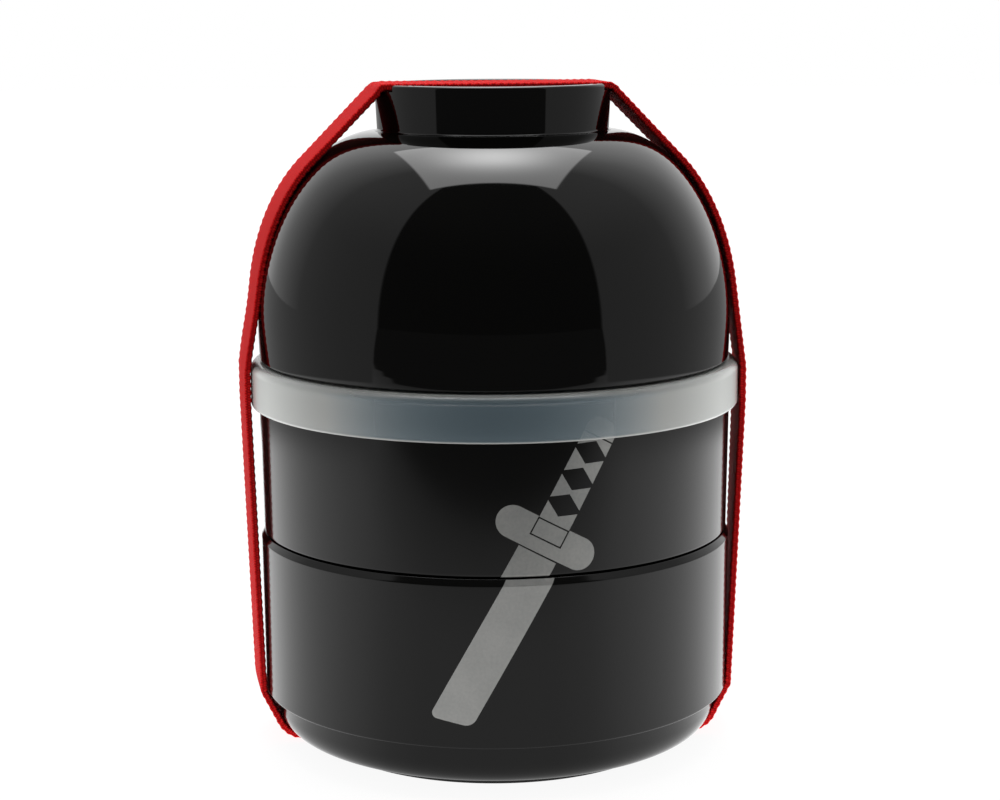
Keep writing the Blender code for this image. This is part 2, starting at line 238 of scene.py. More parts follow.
# Ground: its glow by direction, as the walls', and by distance
GROUND_HALF = 4.0
GROUND_STOPS = [
    (0, 0.24), (0.17, 0.245), (0.26, 0.28), (0.305, 0.32), (0.35, 0.37), (0.4, 0.41), (0.45, 0.455),
    (0.505, 0.5), (0.567, 0.56), (0.64, 0.65), (0.72, 0.75), (1, 0.75),
]
GROUND_NEAR = 0.03  # close to the box its levels come from further round
GROUND_NEAREST = 0.05
GROUND_FADE = -0.295, -0.165, 1.16, 2.0  # between two distances in front, from one share to the other
GROUND_BLUR = 0.01
GROUND_END = -0.300, -0.290  # beyond it the ground ahead is dark
GROUND_AHEAD = 0.07
GROUND_RADIUS = 0.38, 0.42  # beyond it the ground aside is as the walls
GROUND_ASIDE = 0.36
GROUND_SEEN = 0.93  # its own level to the camera, beside the light that it takes
GROUND_MATT = 0.1
GROUND_PLAIN = 1.4  # how strongly it lights matt surfaces

# Fineness of the meshes
TURN_STEPS = 240
CHORD_GAP = 0.003 * MM
FACET = math.radians(7.5)  # widest facet of a rounding
SHARP = math.radians(35)  # edges that turn by more stay crisp
DOME_STEPS = 72
BELLY_PARTS = 6
SUPPORT = 0.25 * MM  # distance of the extra ring beside each corner
SPAN = 4.0 * MM  # widest spacing of rings on a straight wall
STRAIGHT = 1e-3  # smallest turn, in radians, that makes a corner
BAND_BEND = math.radians(2.5)
BAND_STEP = 0.3 * MM
SECTION_STEP = 1.25 * MM
LEG_PARTS = 12
CLOSE = 0.001 * MM  # two heights this close are one
MERGE = 1e-7
TINY = 1e-9

# Derived places, as in the CAD model
RING_H = SEAT_GAP + CAD_BAND_T + STITCH_GAP + 2 * STITCH_R + TABLE_GAP
UPPER_STEP_R = RIM_R - (UPPER_H - UPPER_STEP_H) * math.tan(UPPER_DRAFT)
LOWER_RIM_R = UPPER_STEP_R + LOWER_PROUD
LOWER_STEP_R = LOWER_RIM_R - (LOWER_H - LOWER_STEP_H) * math.tan(LOWER_DRAFT)
NEST_R = LOWER_RIM_R - WALL - (UPPER_STEP_H + SEAT_GAP) * math.tan(LOWER_DRAFT) - NEST_GAP
LOWER_BASE_R = LOWER_STEP_R - LOWER_STEP_IN
LID_R = RIM_R + SKIRT_GAP + SKIRT
BOWL_RIM_R = LID_R - BOWL_INSET
UPPER_Z = LOWER_H + SEAT_GAP - UPPER_STEP_H
LID_Z = UPPER_Z + UPPER_H + SEAT_GAP - (LID_H - LID_TOP)
BOWL_Z = LID_Z + LID_H + SEAT_GAP
FOOT_TOP = BOWL_Z + BELLY_Z + DOME_H + BOWL_FOOT_H


def arc_points(centre, start, end, radius, steps):
    """Points on the shorter arc about centre from the direction start to the direction end."""
    turn = (end - start + math.pi) % (2 * math.pi) - math.pi
    angles = [start + turn * i / steps for i in range(steps + 1)]
    return [(centre[0] + radius * math.cos(a), centre[1] + radius * math.sin(a)) for a in angles]


def corner_arc(before, corner, after):
    """The points that stand for a corner (x, y, fillet) between its two neighbours."""
    x, y, fillet = corner
    to_before = math.atan2(before[1] - y, before[0] - x)
    to_after = math.atan2(after[1] - y, after[0] - x)
    turn = (to_after - to_before + math.pi) % (2 * math.pi) - math.pi
    inside = abs(turn)
    if not fillet or inside > math.pi - STRAIGHT:
        return [(x, y)]
    cut = fillet / math.tan(inside / 2)
    reach = fillet / math.sin(inside / 2)
    middle = to_before + turn / 2
    centre = (x + reach * math.cos(middle), y + reach * math.sin(middle))
    ends = [(x + cut * math.cos(a), y + cut * math.sin(a)) for a in (to_before, to_after)]
    start, end = (math.atan2(p[1] - centre[1], p[0] - centre[0]) for p in ends)
    facet = min(2 * math.acos(1 - CHORD_GAP / fillet), FACET)
    return arc_points(centre, start, end, fillet, math.ceil((math.pi - inside) / facet))


def rounded(corners):
    """An open line through corners (r, z, fillet)."""
    points = [corners[0][:2]]
    for before, corner, after in zip(corners, corners[1:], corners[2:]):
        points += corner_arc(before, corner, after)
    points.append(corners[-1][:2])
    return points


def rounded_loop(corners):
    """A closed outline through corners (x, y, fillet)."""
    points = []
    for before, corner, after in zip(corners[-1:] + corners, corners, corners[1:] + corners[:1]):
        points += corner_arc(before, corner, after)
    return points


def supported(points):
    """The same line with extra points beside its corners and along its straight parts."""
    dense = [points[0]]
    for a, b in zip(points, points[1:]):
        length = math.dist(a, b)
        if length > 4 * SUPPORT:
            inner = max(1, math.ceil((length - 2 * SUPPORT) / SPAN))
            shares = [(SUPPORT + (length - 2 * SUPPORT) * i / inner) / length for i in range(inner + 1)]
            dense += [(a[0] + (b[0] - a[0]) * t, a[1] + (b[1] - a[1]) * t) for t in shares]
        dense.append(b)
    return dense


def mesh_piece(name, vertices, faces, material):
    """A smooth piece whose sharp edges stay crisp."""
    mesh = bpy.data.meshes.new(name)
    mesh.from_pydata(vertices, [], faces)
    mesh.validate()
    mesh.materials.append(material)
    mesh.shade_smooth()
    mesh.set_sharp_from_angle(angle=SHARP)
    piece = bpy.data.objects.new(name, mesh)
    bpy.context.scene.collection.objects.link(piece)
    return piece


def turned(name, outline, material, height):
    """A solid of revolution about Z from an outline (r, z) that starts and ends on the axis."""
    line = supported(outline)
    first, last = line[0], line[-1]
    rings = line[1:-1]
    turns = [2 * math.pi * i / TURN_STEPS for i in range(TURN_STEPS)]
    vertices = [(r * math.cos(a), r * math.sin(a), z + height) for r, z in rings for a in turns]
    vertices += [(0, 0, first[1] + height), (0, 0, last[1] + height)]
    faces = []
    for ring in range(len(rings) - 1):
        base = ring * TURN_STEPS
        for i in range(TURN_STEPS):
            j = (i + 1) % TURN_STEPS
            faces.append((base + i, base + TURN_STEPS + i, base + TURN_STEPS + j, base + j))
    top, bottom = len(vertices) - 2, len(vertices) - 1
    base = (len(rings) - 1) * TURN_STEPS
    for i in range(TURN_STEPS):
        j = (i + 1) % TURN_STEPS
        faces.append((top, i, j))
        faces.append((bottom, base + j, base + i))
    piece = mesh_piece(name, vertices, faces, material)
    face_outwards(piece)
    return piece


def face_outwards(piece):
    """Turns the faces of a closed piece outwards."""
    bm = bmesh.new()
    bm.from_mesh(piece.data)
    bmesh.ops.recalc_face_normals(bm, faces=bm.faces)
    bm.to_mesh(piece.data)
    bm.free()


def container_outline(height, step_h, base_r, step_r, rim_r, chamfer_w, chamfer_h):
    """A tier's section (r, z): foot ring, rounded base, step, drafted wall, rim, and the same inside."""
    ring_outer_r = base_r - BASE_FILLET - RING_INSET
    ring_inner_r = ring_outer_r - RING_W
    wall_top = height - chamfer_h
    slope = (rim_r - step_r) / (wall_top - step_h)
    rim_inner_r = rim_r - WALL
    ledge_top = step_h + WALL
    ledge_r = rim_inner_r - slope * (wall_top - ledge_top)
    base_inner_r = base_r - WALL
    ledge_bottom = ledge_top - (ledge_r - base_inner_r)
    return rounded(
        [
            (0, RING_H, 0),
            (ring_inner_r, RING_H, 0),
            (ring_inner_r, 0, EDGE_FILLET / 2),
            (ring_outer_r, 0, EDGE_FILLET / 2),
            (ring_outer_r, RING_H, 0),
            (base_r, RING_H, BASE_FILLET),
            (base_r, step_h, 0),
            (step_r, step_h, EDGE_FILLET),
            (rim_r, wall_top, EDGE_FILLET),
            (rim_r - chamfer_w, height, EDGE_FILLET / 2),
            (rim_inner_r, height, EDGE_FILLET / 2),
            (ledge_r, ledge_top, EDGE_FILLET),
            (base_inner_r, ledge_bottom, EDGE_FILLET),
            (base_inner_r, RING_H + FLOOR, FLOOR_FILLET),
            (0, RING_H + FLOOR, 0),
        ]
    )


def lower_outline():
    return container_outline(
        LOWER_H, LOWER_STEP_H, LOWER_BASE_R, LOWER_STEP_R, LOWER_RIM_R, RIM_CHAMFER_W, RIM_CHAMFER_H
    )


def upper_outline():
    return container_outline(UPPER_H, UPPER_STEP_H, NEST_R, UPPER_STEP_R, RIM_R, EDGE_FILLET, EDGE_FILLET)


def lid_outline():
    """The lid's section (r, z): sunk panel, keeper rib, flange, skirt, and the plug inside the rim."""
    channel_top = LID_H - LID_TOP
    skirt_inner_r = LID_R - SKIRT
    plug_r = RIM_R - WALL - PLUG_GAP
    plug_inner_r = plug_r - PLUG_WALL
    keeper_r = BOWL_RIM_R - BOWL_WALL - KEEPER_GAP
    keeper_inner_r = keeper_r - KEEPER_W
    panel_top = LID_H - PANEL_DROP
    panel_under = panel_top - PANEL
    return rounded(
        [
            (0, panel_top, 0),
            (keeper_inner_r - PANEL_DROP, panel_top, EDGE_FILLET),
            (keeper_inner_r, LID_H + KEEPER_H, EDGE_FILLET),
            (keeper_r, LID_H + KEEPER_H, EDGE_FILLET),
            (keeper_r, LID_H, 0),
            (LID_R, LID_H, LID_TOP_FILLET),
            (LID_R, 0, LID_HEM_FILLET),
            (skirt_inner_r, 0, EDGE_FILLET / 2),
            (skirt_inner_r, channel_top, 0),
            (plug_r, channel_top, 0),
            (plug_r, channel_top - PLUG_DEPTH, EDGE_FILLET),
            (plug_inner_r, channel_top - PLUG_DEPTH, 0),
            (plug_inner_r, panel_under, EDGE_FILLET),
            (0, panel_under, 0),
        ]
    )


def dome(belly_r, rise):
    """A quarter of an ellipse from the bowl's widest place up to the flat that carries the foot."""
    reach = belly_r - DOME_FLAT_R
    angles = [math.pi / 2 * i / DOME_STEPS for i in range(DOME_STEPS + 1)]
    return [(DOME_FLAT_R + reach * math.cos(a), BELLY_Z + rise * math.sin(a)) for a in angles]


def bowl_outline(foot_h=BOWL_FOOT_H, foot_edge=EDGE_FILLET):
    """The bowl's section (r, z), upside down: foot, dome, belly, mouth, and the dome's inside."""
    belly_r = BOWL_RIM_R + BOWL_BELLY
    dome_top = BELLY_Z + DOME_H
    foot_top = dome_top + foot_h
    inside_top = dome_top - BOWL_WALL
    recess_z = inside_top + BOWL_FLOOR
    foot_base_r = BOWL_FOOT_R - BOWL_FOOT_FLARE
    foot_inner_r = BOWL_FOOT_R - BOWL_FOOT_WALL
    foot = rounded(
        [
            (0, recess_z, 0),
            (foot_inner_r - BOWL_FOOT_FLARE, recess_z, FOOT_FILLET),
            (foot_inner_r, foot_top, EDGE_FILLET),
            (BOWL_FOOT_R, foot_top, foot_edge),
            (foot_base_r, dome_top, FOOT_FILLET),
            (foot_base_r + 2 * FOOT_FILLET, dome_top, 0),
        ]
    )
    outside = dome(belly_r, DOME_H)[-2::-1]
    shares = [i / BELLY_PARTS for i in range(1, BELLY_PARTS)]
    rim = rounded(
        [
            (belly_r, BELLY_Z, 0),
            *[(belly_r - BOWL_BELLY * t ** 2, BELLY_Z * (1 - t), 0) for t in shares],
            (BOWL_RIM_R, 0, EDGE_FILLET),
            (BOWL_RIM_R - BOWL_WALL, 0, EDGE_FILLET),
            (belly_r - BOWL_WALL, BELLY_Z, 0),
        ]
    )
    inside = dome(belly_r - BOWL_WALL, DOME_H - BOWL_WALL)[1:]
    return foot[:-1] + outside + rim[1:] + inside + [(0, inside_top)]


def new_material(name):
    """A new material, its node tree and its Principled shader."""
    material = bpy.data.materials.new(name)
    material.use_nodes = True
    return material, material.node_tree, material.node_tree.nodes["Principled BSDF"]


def node(tree, kind, **settings):
    made = tree.nodes.new(kind)
    for key, value in settings.items():
        setattr(made, key, value)
    return made


def feed(tree, target, value):
    """Links value into an input, or sets the input where value is a plain number or colour."""
    if isinstance(value, bpy.types.NodeSocket):
        tree.links.new(value, target)
    else:
        target.default_value = value


def maths(tree, operation, a, b=0.0, c=0.0):
    made = node(tree, "ShaderNodeMath", operation=operation)
    for target, value in zip(made.inputs, (a, b, c)):
        feed(tree, target, value)
    return made.outputs[0]


def times(tree, a, b):
    return maths(tree, "MULTIPLY", a, b)


def ranged(tree, value, low, high, to_low, to_high, smooth=False):
    """Carries value over from one range to another, and holds it at their ends."""
    made = node(tree, "ShaderNodeMapRange", interpolation_type="SMOOTHSTEP" if smooth else "LINEAR")
    names = ("Value", "From Min", "From Max", "To Min", "To Max")
    for name, given in zip(names, (value, low, high, to_low, to_high)):
        feed(tree, made.inputs[name], given)
    return made.outputs[0]


def ramp(tree, value, stops):
    """A line through stops (place, level), as a grey ramp over places from 0 to 1."""
    made = node(tree, "ShaderNodeValToRGB")
    made.color_ramp.interpolation = "LINEAR"
    elements = made.color_ramp.elements
    while len(elements) < len(stops):
        elements.new(0.5)
    for element, (place, level) in zip(elements, stops):
        element.position = place
        element.color = (level, level, level, 1)
    feed(tree, made.inputs[0], value)
    return made.outputs[0]


def mixed(tree, share, a, b):
    """A colour between a and b."""
    made = node(tree, "ShaderNodeMix", data_type="RGBA")
    feed(tree, made.inputs["Factor"], share)
    feed(tree, made.inputs[6], a)
    feed(tree, made.inputs[7], b)
    return made.outputs[2]


def noise(tree, vector, scale, detail=2.0):
    made = node(tree, "ShaderNodeTexNoise")
    feed(tree, made.inputs["Vector"], vector)
    made.inputs["Scale"].default_value = scale
    made.inputs["Detail"].default_value = detail
    return made.outputs[0]


def bump(tree, shader, height, distance, strength):
    made = node(tree, "ShaderNodeBump")
    made.inputs["Strength"].default_value = strength
    made.inputs["Distance"].default_value = distance
    feed(tree, made.inputs["Height"], height)
    tree.links.new(made.outputs[0], shader.inputs["Normal"])
    return made


def place_of(tree):
    return node(tree, "ShaderNodeTexCoord").outputs["Object"]


def lacquer():
    """High gloss over near-black, with a faint unevenness."""
    material, tree, shader = new_material("bowl_lacquer")
    where = place_of(tree)
    cloud = noise(tree, where, 45.0)
    feed(tree, shader.inputs["Base Color"], mixed(tree, cloud, *BOWL_BLACKS))
    polish = noise(tree, where, 260.0)
    feed(tree, shader.inputs["Roughness"], ranged(tree, polish, *NOISE_SPREAD, *BOWL_ROUGHNESS))
    shader.inputs["IOR"].default_value = GLOSS_IOR
    bump(tree, shader, noise(tree, where, 90.0, 1.0), 0.01 * MM, 0.35)
    return material


def satin(name):
    """Moulded black plastic with a fine satin grain and slight flow marks."""
    material, tree, shader = new_material(name)
    where = place_of(tree)
    flow = noise(tree, where, 30.0, 3.0)
    grain = noise(tree, where, 2600.0, 2.0)
    feed(tree, shader.inputs["Base Color"], mixed(tree, flow, *TIER_BLACKS))
    feed(tree, shader.inputs["Roughness"], ranged(tree, flow, *NOISE_SPREAD, *TIER_ROUGHNESS))
    shader.inputs["IOR"].default_value = GLOSS_IOR
    bump(tree, shader, grain, 0.002 * MM, 0.5)
    return material


def soft_plastic():
    """Milky, faintly bluish seal material: a thin glossy skin, a haze, and milk between its faces. Its tone
    is painted lighter at a slant and its haze grows there, partly from the longer path and partly as painted
    light; faces that look up keep less haze, as painted shade.
    """
    material, tree, shader = new_material("lid_translucent")
    where = place_of(tree)
    slant = node(tree, "ShaderNodeLayerWeight")
    # painted light: the tone turns lighter and whiter at a slant
    tone = ranged(tree, slant.outputs["Facing"], 0.0, 0.3, 0.05, 0.95)
    feed(tree, shader.inputs["Base Color"], mixed(tree, tone, *LID_TONES_SLANT_LIT))
    shader.inputs["Roughness"].default_value = LID_ROUGHNESS
    relief = bump(tree, shader, noise(tree, where, 900.0), 0.01 * MM, 0.4)
    clear = node(tree, "ShaderNodeBsdfTransparent")
    hazy = node(tree, "ShaderNodeMixShader")
    # more haze at a slant: partly the longer path through the skin, partly painted light
    share = ranged(tree, slant.outputs["Facing"], 0.0, 0.65, *LID_HAZE_AND_SLANT_LIGHT)
    # painted shade: faces that look up keep less haze and turn darker, as the bowl above shades them
    surface = node(tree, "ShaderNodeNewGeometry")
    upright = node(tree, "ShaderNodeSeparateXYZ")
    tree.links.new(surface.outputs["Normal"], upright.inputs[0])
    top_painted_shade = ranged(tree, upright.outputs[2], 0.2, 0.9, 1.0, LID_TOP_PAINTED_SHADE)
    tree.links.new(times(tree, share, top_painted_shade), hazy.inputs[0])
    tree.links.new(clear.outputs[0], hazy.inputs[1])
    tree.links.new(shader.outputs[0], hazy.inputs[2])
    gloss = node(tree, "ShaderNodeBsdfGlossy")
    gloss.inputs["Roughness"].default_value = LID_SKIN_ROUGHNESS
    tree.links.new(relief.outputs[0], gloss.inputs["Normal"])
    rim = node(tree, "ShaderNodeFresnel")
    rim.inputs["IOR"].default_value = LID_IOR
    skin = node(tree, "ShaderNodeMixShader")
    tree.links.new(rim.outputs[0], skin.inputs[0])
    tree.links.new(hazy.outputs[0], skin.inputs[1])
    tree.links.new(gloss.outputs[0], skin.inputs[2])
    milk = node(tree, "ShaderNodeVolumeScatter")
    milk.inputs["Color"].default_value = LID_MILK
    milk.inputs["Density"].default_value = LID_DENSITY
    milk.inputs["Anisotropy"].default_value = 0.1
    output = tree.nodes["Material Output"]
    tree.links.new(skin.outputs[0], output.inputs["Surface"])
    tree.links.new(milk.outputs[0], output.inputs["Volume"])
    return material


def ink(name, greys):
    """Silver-grey screen print, partly metallic, with a slight speckle."""
    material, tree, shader = new_material(name)
    where = place_of(tree)
    speckle = noise(tree, where, 1500.0, 3.0)
    patch = noise(tree, where, 120.0, 2.0)
    tone = maths(tree, "MULTIPLY_ADD", patch, 0.5, times(tree, speckle, 0.5))
    feed(tree, shader.inputs["Base Color"], mixed(tree, ranged(tree, tone, 0.35, 0.65, 0, 1), *greys))
    feed(tree, shader.inputs["Roughness"], ranged(tree, speckle, *NOISE_SPREAD, *INK_ROUGHNESS))
    shader.inputs["Metallic"].default_value = INK_METAL
    bump(tree, shader, speckle, 0.02 * MM, 0.5)
    return material


def woven():
    """Red elastic: crosswise ribs that shift from one lengthwise cord to the next."""
    material, tree, shader = new_material("band_weave")
    uv = node(tree, "ShaderNodeUVMap", uv_map="weave")
    parts = node(tree, "ShaderNodeSeparateXYZ")
    tree.links.new(uv.outputs[0], parts.inputs[0])
    cord = times(tree, parts.outputs[0], 1 / CORD_PITCH)
    shift = times(tree, maths(tree, "FLOOR", cord), 0.5)
    rib = maths(tree, "MULTIPLY_ADD", parts.outputs[1], 1 / RIB_PITCH, shift)
    rib_wave = maths(tree, "SINE", times(tree, rib, 2 * math.pi))
    cord_wave = maths(tree, "ABSOLUTE", maths(tree, "SINE", times(tree, cord, math.pi)))
    ribs = maths(tree, "MULTIPLY_ADD", rib_wave, 0.5, 0.5)
    weave = maths(tree, "MULTIPLY_ADD", ribs, 0.6, times(tree, cord_wave, 0.4))
    fibre = noise(tree, place_of(tree), 3800.0, 3.0)
    height = maths(tree, "MULTIPLY_ADD", fibre, 0.5, weave)
    # painted shade: darker red where the weave lies low, with a random fibre tone
    feed(tree, shader.inputs["Base Color"], mixed(tree, ranged(tree, height, 0.35, 1.25, 0, 1), *BAND_REDS_HOLLOW_SHADED))
    shader.inputs["Roughness"].default_value = BAND_ROUGHNESS
    shader.inputs["Specular IOR Level"].default_value = 0.04
    shader.inputs["Subsurface Weight"].default_value = 0.3
    shader.inputs["Subsurface Radius"].default_value = (1.0, 0.22, 0.18)
    shader.inputs["Subsurface Scale"].default_value = BAND_BLEED
    shader.inputs["Sheen Weight"].default_value = 0.015
    shader.inputs["Sheen Roughness"].default_value = 0.35
    shader.inputs["Sheen Tint"].default_value = (1.0, 0.35, 0.33, 1)
    bump(tree, shader, height, WEAVE_RELIEF, 0.8)
    return material


def thread():
    """Twisted red sewing thread."""
    material, tree, shader = new_material("red_thread")
    where = place_of(tree)
    ply = noise(tree, where, 5000.0, 2.0)
    feed(tree, shader.inputs["Base Color"], mixed(tree, ply, *THREAD_REDS))
    shader.inputs["Roughness"].default_value = 0.6
    shader.inputs["Sheen Weight"].default_value = 0.2
    bump(tree, shader, ply, 0.05 * MM, 0.6)
    return material


def hull(points):
    """The convex outline of points in a plane, anticlockwise."""
    ordered = sorted(set(points))

    def half(line):
        kept = []
        for p in line:
            while len(kept) > 1:
                a, b = kept[-2:]
                turn = math.atan2(p[1] - b[1], p[0] - b[0]) - math.atan2(b[1] - a[1], b[0] - a[0])
                if STRAIGHT < turn % (2 * math.pi) < math.pi:
                    break
                kept.pop()
            kept.append(p)
        return kept[:-1]

    return half(ordered) + half(ordered[::-1])


def stack_corners():
    """Corners of the taut line round the whole stack, as seen along the band's width."""
    notched_bowl = bowl_outline(BOWL_FOOT_H - NOTCH_DEPTH, NOTCH_EDGE)
    outlines = (lower_outline(), upper_outline(), lid_outline(), notched_bowl)
    stack = list(zip(outlines, (0, UPPER_Z, LID_Z, BOWL_Z)))
    touched = [(r, z + base) for outline, base in stack for r, z in outline if z + base >= RING_H]
    return hull([(side * r, z) for r, z in touched for side in (-1, 1)])


def band_stations():
    """Places along the band: (x, z) on the line that it touches, its outward direction, the length so far."""
    corners = stack_corners()
    stations = []
    travelled = 0.0
    reach = SEAT_GAP + BAND_T / 2
    under = max(corner for corner in corners if corner[1] < RING_H + CLOSE)
    first = corners.index(under)
    corners = corners[first:] + corners[:first]
    for before, corner, after in zip(corners[-1:] + corners, corners, corners[1:] + corners[:1]):
        facing = [math.atan2(a[0] - b[0], b[1] - a[1]) for a, b in ((before, corner), (corner, after))]
        turn = (facing[1] - facing[0]) % (2 * math.pi)
        steps = max(1, math.ceil(turn / BAND_BEND), math.ceil(turn * reach / BAND_STEP))
        for i in range(steps + 1):
            stations.append((corner, facing[0] + turn * i / steps, travelled + turn * reach * i / steps))
        travelled += turn * reach
        span = math.dist(corner, after)
        count = max(1, math.ceil(span / BAND_STEP))
        for i in range(1, count):
            share = i / count
            place = tuple(a + (b - a) * share for a, b in zip(corner, after))
            stations.append((place, facing[1], travelled + span * share))
        travelled += span
    return stations, travelled


def clamped(share):
    return min(max(share, 0), 1)


def band_yaw(x, z):
    """How far the band is turned about Z: more over the bowl, and most over the right side of its foot."""
    share = clamped((z - BOWL_Z) / (FOOT_TOP - BOWL_Z))
    side = clamped(0.5 + x / (2 * BOWL_FOOT_R))
    skew = BAND_SKEW_LEFT + (BAND_SKEW_RIGHT - BAND_SKEW_LEFT) * side
    return BAND_YAW + skew * share * share * (3 - 2 * share)


def band_lean(x, z):
    """How far the band's face turns to the front: on the right, more towards the base."""
    low = clamped((LID_Z - z) / (LID_Z - LOWER_STEP_H))
    right = BAND_LEAN_RIGHT + (BAND_LEAN_LOW_RIGHT - BAND_LEAN_RIGHT) * low
    return BAND_LEAN_LEFT if x < 0 else right


def band_ease(x, z):
    """How far the band's left side stands off the taut line."""
    share = clamped((BOWL_Z + BAND_EASE_H - z) / BAND_EASE_H)
    return BAND_EASE * share * share * (3 - 2 * share) if x < 0 else 0.0


def band_section():
    """The section's outline (across, out, length so far), with rounded long edges."""
    half = BAND_W / 2
    edge = BAND_EDGE
    corners = [(half, 0, edge), (half, BAND_T, edge), (-half, BAND_T, edge), (-half, 0, edge)]
    loop = []
    for before, corner, after in zip(corners[-1:] + corners, corners, corners[1:] + corners[:1]):
        loop += corner_arc(before, corner, after)
        end = loop[-1]
        start = corner_arc(corner, after, corners[(corners.index(after) + 1) % 4])[0]
        count = max(1, math.ceil(math.dist(end, start) / SECTION_STEP))
        loop += [tuple(a + (b - a) * i / count for a, b in zip(end, start)) for i in range(1, count)]
    along = [0.0]
    for a, b in zip(loop, loop[1:] + loop[:1]):
        along.append(along[-1] + math.dist(a, b))
    return loop, along


def band_point(station, across, out):
    """Where a point of the section lies: cupped over the round wall, scalloped at its long edges."""
    (x, z), facing, along = station
    yaw = band_yaw(x, z)
    rim = abs(2 * across / BAND_W)
    spanning = math.cos(facing) ** 2
    wave = math.sin(2 * math.pi * along / SCALLOP_PITCH + (math.pi if across > 0 else 0))
    edge = max(0.0, (rim - 1 + SCALLOP_REACH) / SCALLOP_REACH)
    middle = out / BAND_T - 0.5
    away = SEAT_GAP + out + BAND_LIFT * spanning - BAND_CUP * spanning * rim ** 2
    away += (across * math.sin(band_lean(x, z)) + band_ease(x, z)) * spanning
    away += SCALLOP_DEPTH * edge * wave * middle * 2
    width = across * (1 + 0.5 * SCALLOP_DEPTH / (BAND_W / 2) * (wave - 1) * edge)
    if abs(x) < JOIN_W / 2 and z < BAND_W and out > BAND_T / 2:
        away -= JOIN_DEPTH
    line = x + away * math.cos(facing)
    height = z + away * math.sin(facing)
    return (
        line * math.cos(yaw) - width * math.sin(yaw),
        line * math.sin(yaw) + width * math.cos(yaw),
        height,
    )


def make_band(material):
    stations, length = band_stations()
    section, girth = band_section()
    count = len(section)
    vertices = [band_point(station, across, out) for station in stations for across, out in section]
    faces = []
    coordinates = []
    for i, station in enumerate(stations):
        following = (i + 1) % len(stations)
        here = station[2]
        there = stations[following][2] if following else length
        for j in range(count):
            k = (j + 1) % count
            faces.append((i * count + j, i * count + k, following * count + k, following * count + j))
            coordinates += [(girth[j], here), (girth[j + 1], here), (girth[j + 1], there), (girth[j], there)]
    mesh = bpy.data.meshes.new("band_webbing")
    mesh.from_pydata(vertices, [], faces)
    layer = mesh.uv_layers.new(name="weave")
    for corner, place in zip(layer.data, coordinates):
        corner.uv = place
    mesh.materials.append(material)
    mesh.shade_smooth()
    piece = bpy.data.objects.new("band_webbing", mesh)
    bpy.context.scene.collection.objects.link(piece)
    face_outwards(piece)
    return piece


def make_stitching(material):
    """A thread that zigzags over the join and dips into the band at the end of each leg."""
    surface = RING_H - SEAT_GAP - BAND_T
    half = BAND_W / 2 - STITCH_MARGIN
    legs = round(2 * half / STITCH_PITCH)
    curve = bpy.data.curves.new("band_thread", "CURVE")
    curve.dimensions = "3D"
    curve.bevel_depth = STITCH_R
    curve.bevel_resolution = 3
    curve.use_fill_caps = True
    spline = curve.splines.new("POLY")
    points = []
    for leg in range(legs):
        start = Vector((STITCH_REACH * (-1) ** leg, -half + 2 * half * leg / legs, 0))
        end = Vector((-start.x, -half + 2 * half * (leg + 1) / legs, 0))
        for part in range(LEG_PARTS + (leg == legs - 1)):
            share = part / LEG_PARTS
            place = start.lerp(end, share)
            place.z = surface - STITCH_PROUD + STITCH_DIP * abs(2 * share - 1) ** 6
            points.append(place)
    spline.points.add(len(points) - 1)
    for target, place in zip(spline.points, points):
        target.co = (*place, 1)
    curve.materials.append(material)
    piece = bpy.data.objects.new("band_thread", curve)
    bpy.context.scene.collection.objects.link(piece)
    piece.rotation_euler.z = BAND_YAW
    return piece


def cut_away(piece, cutter_bm, turn, height):
    """Subtracts a cutter, turned about Z, from a piece and keeps the result as its mesh."""
    bmesh.ops.recalc_face_normals(cutter_bm, faces=cutter_bm.faces)
    mesh = bpy.data.meshes.new("cutter")
    cutter_bm.to_mesh(mesh)
    cutter_bm.free()
    cutter = bpy.data.objects.new("cutter", mesh)
    bpy.context.scene.collection.objects.link(cutter)
    cutter.rotation_euler.z = turn
    cutter.location.z = height
    cut = piece.modifiers.new("cut", "BOOLEAN")
    cut.operation = "DIFFERENCE"
    cut.solver = "EXACT"
    cut.object = cutter
    bpy.context.view_layer.update()
    shape = bpy.data.meshes.new_from_object(piece.evaluated_get(bpy.context.evaluated_depsgraph_get()))
    piece.modifiers.clear()
    piece.data = shape
    bpy.data.objects.remove(cutter)
    shape.set_sharp_from_angle(angle=SHARP)


def cut_band_slot(container):
    """Gaps in the foot ring where the band passes."""
    slot_top = RING_H + BAND_SLOT_DEPTH
    bm = bmesh.new()
    bmesh.ops.create_cube(bm, size=1)
    size = (2 * (LOWER_BASE_R - BASE_FILLET), BAND_W + 2 * BAND_SLOT_GAP, 2 * slot_top)
    bmesh.ops.scale(bm, vec=size, verts=bm.verts)
    cut_away(container, bm, BAND_YAW, 0)


def cut_foot_notch(bowl):
    """A saddle across the foot's free edge that the band lies in."""
    foot_top = BELLY_Z + DOME_H + BOWL_FOOT_H
    low = foot_top - NOTCH_DEPTH
    clear = 2 * NOTCH_EDGE
    line = rounded([(0, low, 0), (BOWL_FOOT_R, low, NOTCH_EDGE), (BOWL_FOOT_R, low - clear, 0)])[1:-1]
    line += [(BOWL_FOOT_R + clear, low - NOTCH_EDGE), (BOWL_FOOT_R + clear, foot_top + clear)]
    loop = line + [(-x, z) for x, z in line[::-1]]
    half = BAND_W / 2 + NOTCH_GAP
    bm = bmesh.new()
    front, back = ([bm.verts.new((x, y, z)) for x, z in loop] for y in (-half, half))
    bm.faces.new(front)
    bm.faces.new(back[::-1])
    for i in range(len(loop)):
        j = (i + 1) % len(loop)
        bm.faces.new([front[i], back[i], back[j], front[j]])
    cut_away(bowl, bm, NOTCH_TURN, BOWL_Z)


